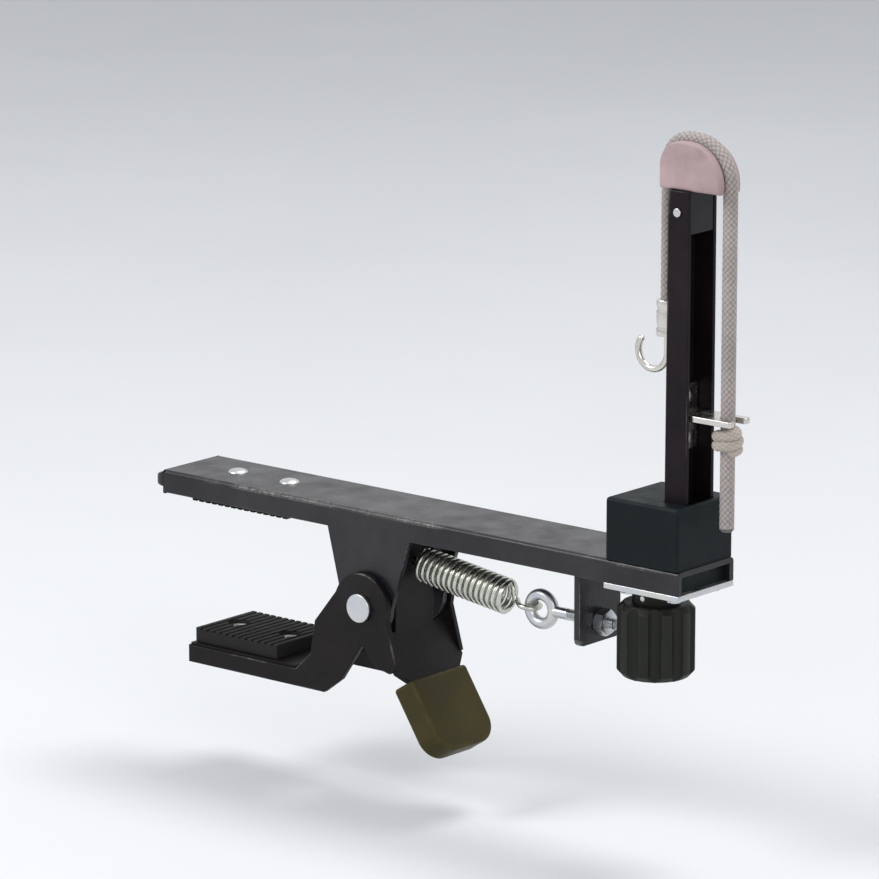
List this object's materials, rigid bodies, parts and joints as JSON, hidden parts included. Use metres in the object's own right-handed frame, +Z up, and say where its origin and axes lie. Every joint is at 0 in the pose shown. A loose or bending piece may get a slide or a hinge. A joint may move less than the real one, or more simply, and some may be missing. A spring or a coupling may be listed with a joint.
{
  "type": "table tennis net clamp",
  "caption": "Sprung clip that grips a table edge, with a channel arm, a claw lever on a tension spring, a height knob and a short post that carries the net cord.",
  "frame": {"origin": "Centre of the upper pad's underside, on the plane of the table top.", "axes": "+X points away from the table along the net line, +Y along the table edge, +Z up."},
  "size_m": [0.2556, 0.0401, 0.2278],
  "materials": {
    "black_paint": "semi-gloss black enamel on pressed steel, a little worn on its edges",
    "post_paint": "black enamel on folded sheet steel",
    "lever_paint": "black enamel on pressed steel",
    "black_plastic": "fine-grained moulded nylon",
    "cap_plastic": "pale moulded nylon, a little pink with age, satin",
    "socket_plastic": "moulded glass-filled nylon with a fine grain",
    "knob_plastic": "moulded plastic, satin",
    "vinyl": "soft vinyl sleeve, matt",
    "rubber": "moulded rubber, matt",
    "zinc": "bright zinc plate",
    "spring_steel": "zinc plated spring wire",
    "chrome": "nickel plate",
    "nylon": "natural nylon",
    "cord": "braided polyester cord, off-white"
  },
  "bodies": {
    "root": {"arm": "black_paint", "nose_cap": "black_plastic", "upper_pad": "rubber", "upper_pad_rivets": "zinc", "pivot_pin": "zinc", "pivot_clip": "zinc", "pivot_washers": "nylon", "tension_spring": "spring_steel", "eye_bolt": "zinc", "eye_bolt_nuts": "zinc", "post_socket": "socket_plastic", "thrust_plate": "zinc", "socket_screws": "zinc", "knob_washer": "nylon"},
    "lever": {"clamp_lever": "lever_paint", "handle_grip": "vinyl", "lower_pad": "rubber", "lower_pad_rivets": "zinc"},
    "adjuster": {"height_screw": "zinc", "height_knob": "knob_plastic", "knob_pin": "zinc"},
    "post_assembly": {"post": "post_paint", "post_foot": "zinc", "foot_rivets": "zinc", "post_cap": "cap_plastic", "cap_pin": "zinc", "cord_cleat": "chrome", "cleat_rivets": "zinc", "net_cord": "cord", "cord_knot": "cord", "net_hook": "chrome"}
  },
  "joints": [
    {"name": "lever_pivot", "type": "hinge", "parent": "root", "child": "lever", "pos_m": [0.06, 0, -0.024], "axis": [0, -1, 0], "range_deg": [0, 32], "stiffness_Nm_per_rad": 0.5, "springref_deg": -68.75, "deforming": ["tension_spring"]},
    {"name": "knob_turn", "type": "hinge", "parent": "root", "child": "adjuster", "pos_m": [0.1735, 0, -0.02], "axis": [0, 0, 1], "range_deg": [-2250, 2250]},
    {"name": "post_slide", "type": "slide", "parent": "root", "child": "post_assembly", "axis": [0, 0, 1], "range_m": [-0.005, 0.005]}
  ],
  "couplings": [
    {"joint": "knob_turn", "follows": "post_slide", "rad_per_m": -7854}
  ]
}
